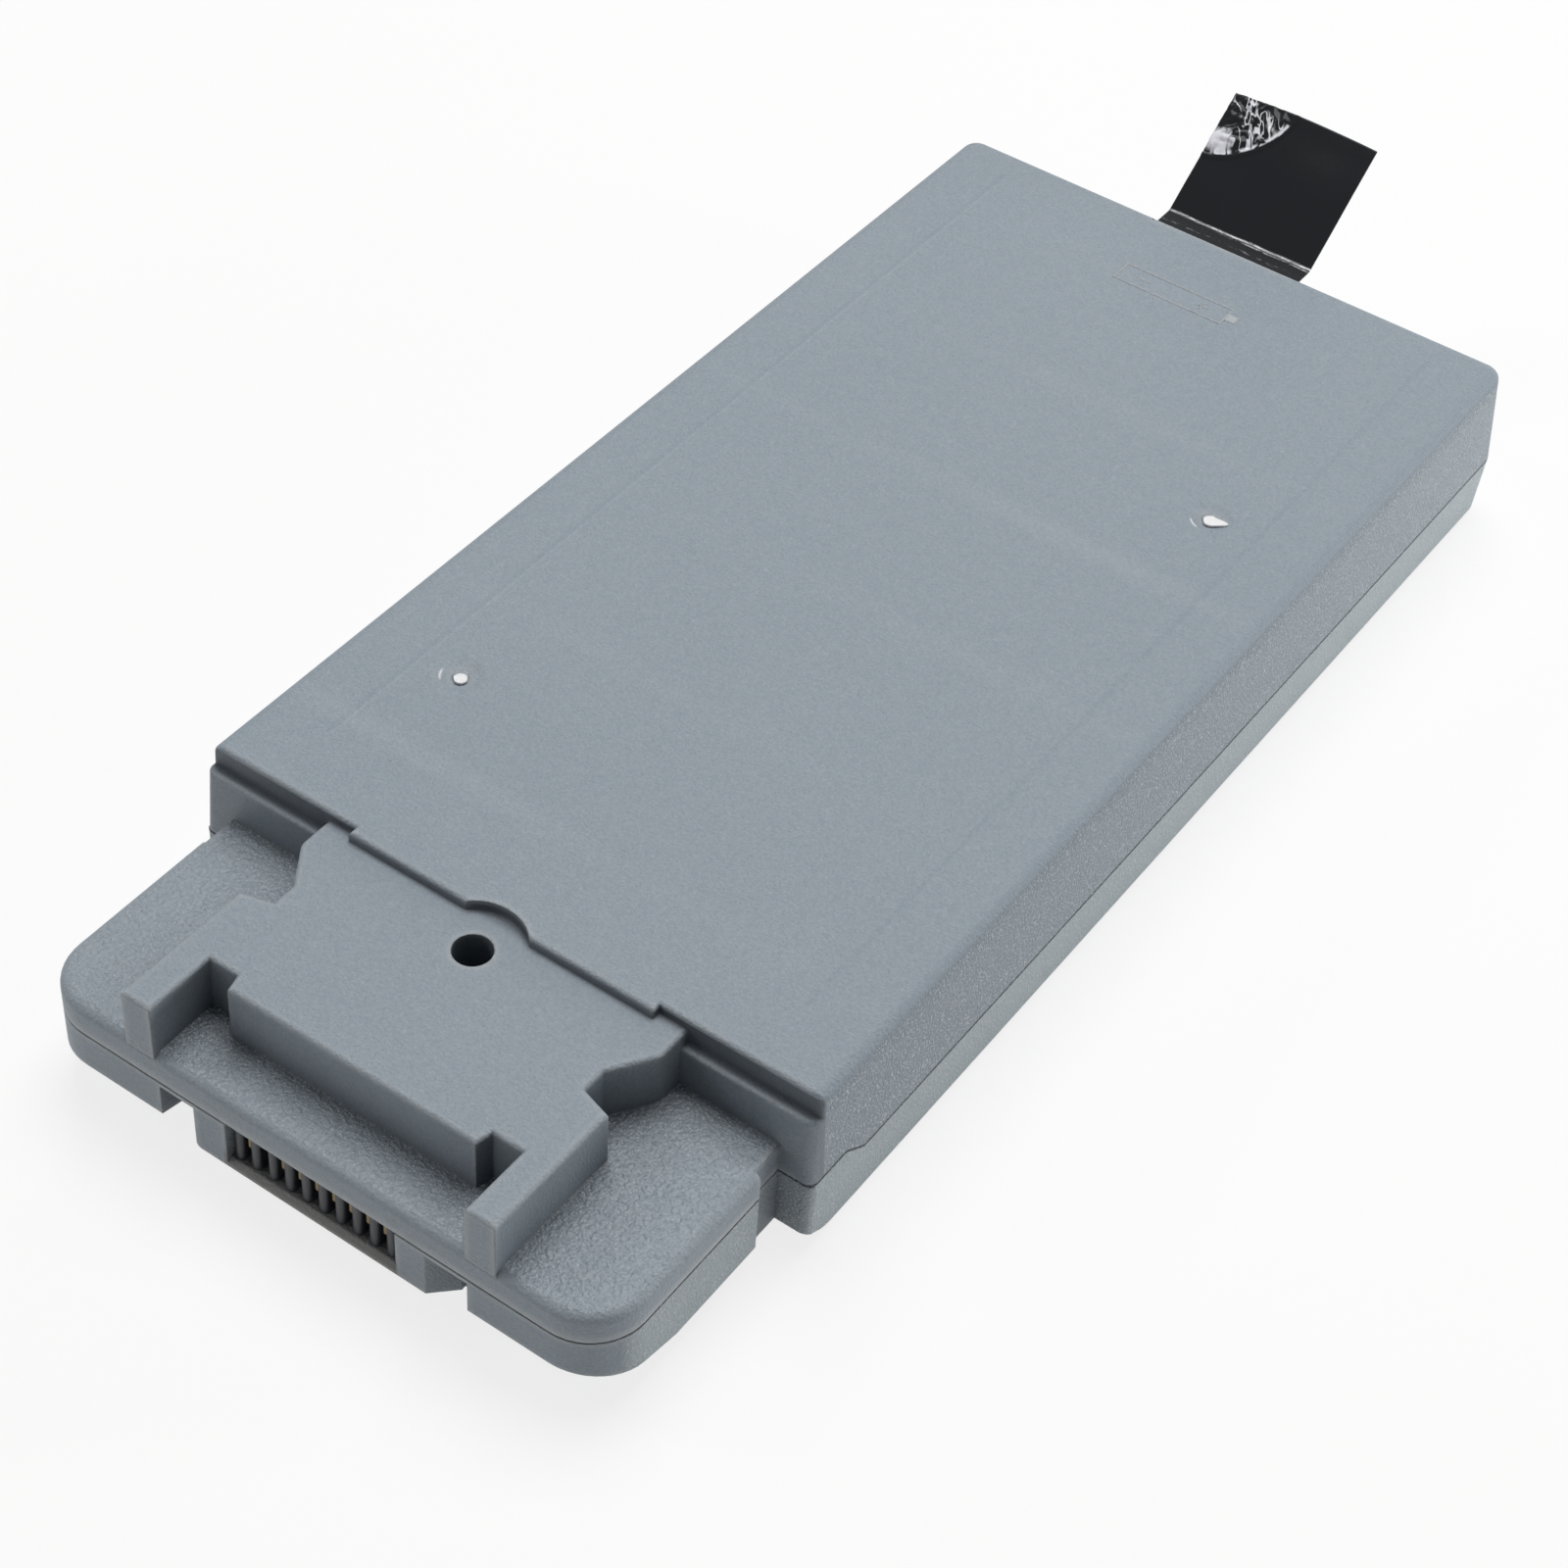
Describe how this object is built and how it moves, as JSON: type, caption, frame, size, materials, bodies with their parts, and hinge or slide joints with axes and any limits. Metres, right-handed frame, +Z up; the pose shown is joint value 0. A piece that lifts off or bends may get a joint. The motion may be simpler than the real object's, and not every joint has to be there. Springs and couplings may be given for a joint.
{
  "type": "laptop battery",
  "caption": "Slim slide-in battery pack with a two-shell moulded case, a stepped connector tongue with a slotted socket, and a bent film pull tab.",
  "frame": {"origin": "middle of the main body, on its flat underside", "axes": "+Y from the connector end to the pull tab end, +X to the right seen from the connector end, +Z up, away from the underside"},
  "size_m": [0.073, 0.1794, 0.0296],
  "materials": {
    "shell": "fine matt moulded grain",
    "comb": "satin moulded",
    "blade": "plain rolled",
    "sleeve": "heat-shrunk film",
    "nickel": "rolled nickel-plated strip",
    "fish_paper": "pressed insulating card",
    "laminate": "solder mask",
    "package": "moulded",
    "film": "glossy film with scuffed crease"
  },
  "bodies": {
    "root": {"upper_shell": "shell", "lower_shell": "shell", "connector_block": "comb", "contact_1": "blade", "contact_2": "blade", "contact_3": "blade", "contact_4": "blade", "contact_5": "blade", "contact_6": "blade", "contact_7": "blade", "contact_8": "blade", "cell_1": "sleeve", "cell_2": "sleeve", "cell_3": "sleeve", "cell_4": "sleeve", "cell_5": "sleeve", "cell_6": "sleeve", "insulator_ring_1": "fish_paper", "insulator_ring_2": "fish_paper", "insulator_ring_3": "fish_paper", "insulator_ring_4": "fish_paper", "insulator_ring_5": "fish_paper", "insulator_ring_6": "fish_paper", "front_strip": "nickel", "middle_strip": "nickel", "rear_strip": "nickel", "front_card": "fish_paper", "rear_card": "fish_paper", "protection_board": "laminate", "controller_chip": "package", "mosfet_1": "package", "mosfet_2": "package", "fuse": "package", "shunt_resistor": "package", "thermistor": "package", "pull_tab": "film"}
  },
  "joints": []
}
